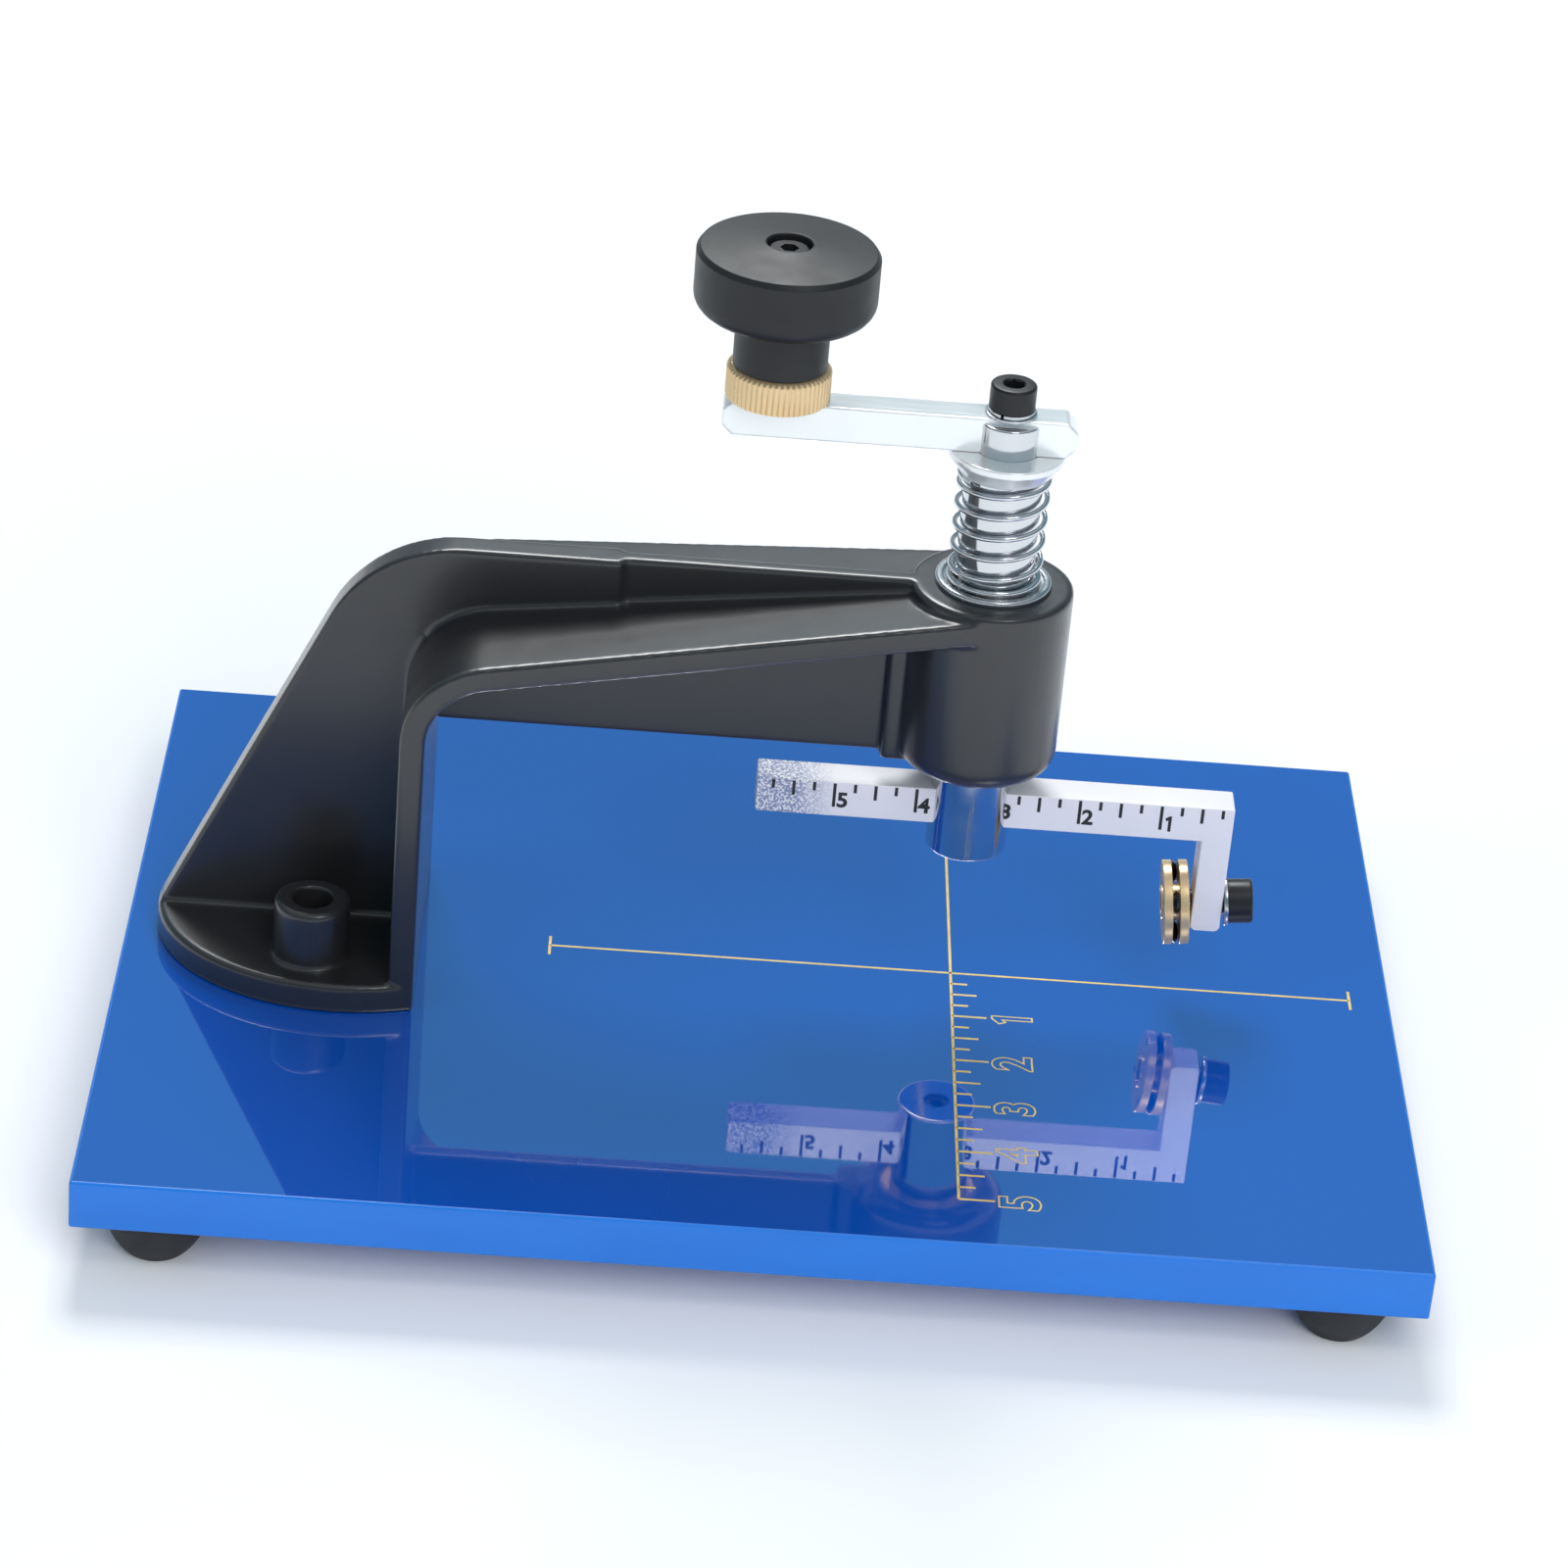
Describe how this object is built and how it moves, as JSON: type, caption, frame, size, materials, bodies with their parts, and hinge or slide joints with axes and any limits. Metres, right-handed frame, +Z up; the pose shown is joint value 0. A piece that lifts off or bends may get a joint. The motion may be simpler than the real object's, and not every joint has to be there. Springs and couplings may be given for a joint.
{
  "type": "bench circle glass cutter",
  "caption": "Bench circle cutter for glass, built like a small arbor press: cast C-frame, cranked and sprung spindle, sliding scale arm, turret of cutting wheels, marked board.",
  "frame": {"origin": "on the ground, at the centre of the bounding box, which is the board's centre", "axes": "+X from the pillar towards the cutter, along the board's length; +Y to the back; +Z up, along the spindle"},
  "size_m": [0.2, 0.15, 0.1394],
  "materials": {
    "blue_acrylic": "polished, mirror-like",
    "black_rubber": "matt",
    "black_enamel": "satin enamel on a casting",
    "black_oxide": "black oxide",
    "zinc_steel": "bright zinc",
    "bronze": "turned",
    "spring_steel": "bright wire",
    "nickel": "polished nickel",
    "ground_steel": "ground and polished",
    "black_plastic": "matt moulded",
    "brass": "turned",
    "satin_aluminium": "satin with engraved scale",
    "carbide": "ground, dark"
  },
  "bodies": {
    "stand": {"base_board": "blue_acrylic", "rubber_foot_front_left": "black_rubber", "rubber_foot_front_right": "black_rubber", "rubber_foot_rear_left": "black_rubber", "rubber_foot_rear_right": "black_rubber", "foot_screws": "zinc_steel", "frame_casting": "black_enamel", "frame_bolts": "black_oxide", "frame_nuts": "zinc_steel", "frame_nut_washers": "zinc_steel", "lower_bush": "bronze", "upper_bush": "bronze", "spring_seat_washer": "zinc_steel", "return_spring": "spring_steel"},
    "press_carriage": {"spring_retainer": "nickel"},
    "crank": {"spindle": "ground_steel", "arm_clamp_screw": "black_oxide", "crank_bar": "nickel", "crank_flat_washer": "zinc_steel", "crank_lock_washer": "zinc_steel", "crank_screw": "black_oxide", "knob_axle_screw": "black_oxide"},
    "knob": {"knob": "black_plastic", "knob_ferrule": "brass"},
    "arm": {"scale_arm": "satin_aluminium", "turret_screw": "black_oxide", "turret_washer": "zinc_steel"},
    "turret": {"turret_disc_outer": "brass", "turret_disc_inner": "brass", "turret_hub": "brass", "wheel_pins": "black_oxide"},
    "wheel_1": {"cutting_wheel_1": "carbide"},
    "wheel_2": {"cutting_wheel_2": "carbide"},
    "wheel_3": {"cutting_wheel_3": "carbide"}
  },
  "joints": [
    {"name": "press_slide", "type": "slide", "parent": "stand", "child": "press_carriage", "axis": [0, 0, -1], "range_m": [0, 0.007], "stiffness_N_per_m": 900, "springref_m": -0.008, "deforming": ["return_spring"]},
    {"name": "spindle_spin", "type": "hinge", "parent": "press_carriage", "child": "crank", "pos_m": [0.03, 0, 0.08], "axis": [0, 0, 1], "continuous": true},
    {"name": "knob_spin", "type": "hinge", "parent": "crank", "child": "knob", "pos_m": [-0.005, 0, 0.125], "axis": [0, 0, 1], "continuous": true},
    {"name": "arm_slide", "type": "slide", "parent": "crank", "child": "arm", "axis": [1, 0, 0], "range_m": [-0.0275, 0.0307]},
    {"name": "turret_index", "type": "hinge", "parent": "arm", "child": "turret", "pos_m": [0.06385, 0, 0.032], "axis": [0.9954, 0, 0.0958], "continuous": true},
    {"name": "wheel_spin_1", "type": "hinge", "parent": "turret", "child": "wheel_1", "pos_m": [0.06438, 0, 0.02652], "axis": [0.9954, 0, 0.0958], "continuous": true},
    {"name": "wheel_spin_2", "type": "hinge", "parent": "turret", "child": "wheel_2", "pos_m": [0.06359, 0.00476, 0.03474], "axis": [0.9954, 0, 0.0958], "continuous": true},
    {"name": "wheel_spin_3", "type": "hinge", "parent": "turret", "child": "wheel_3", "pos_m": [0.06359, -0.00476, 0.03474], "axis": [0.9954, 0, 0.0958], "continuous": true}
  ]
}
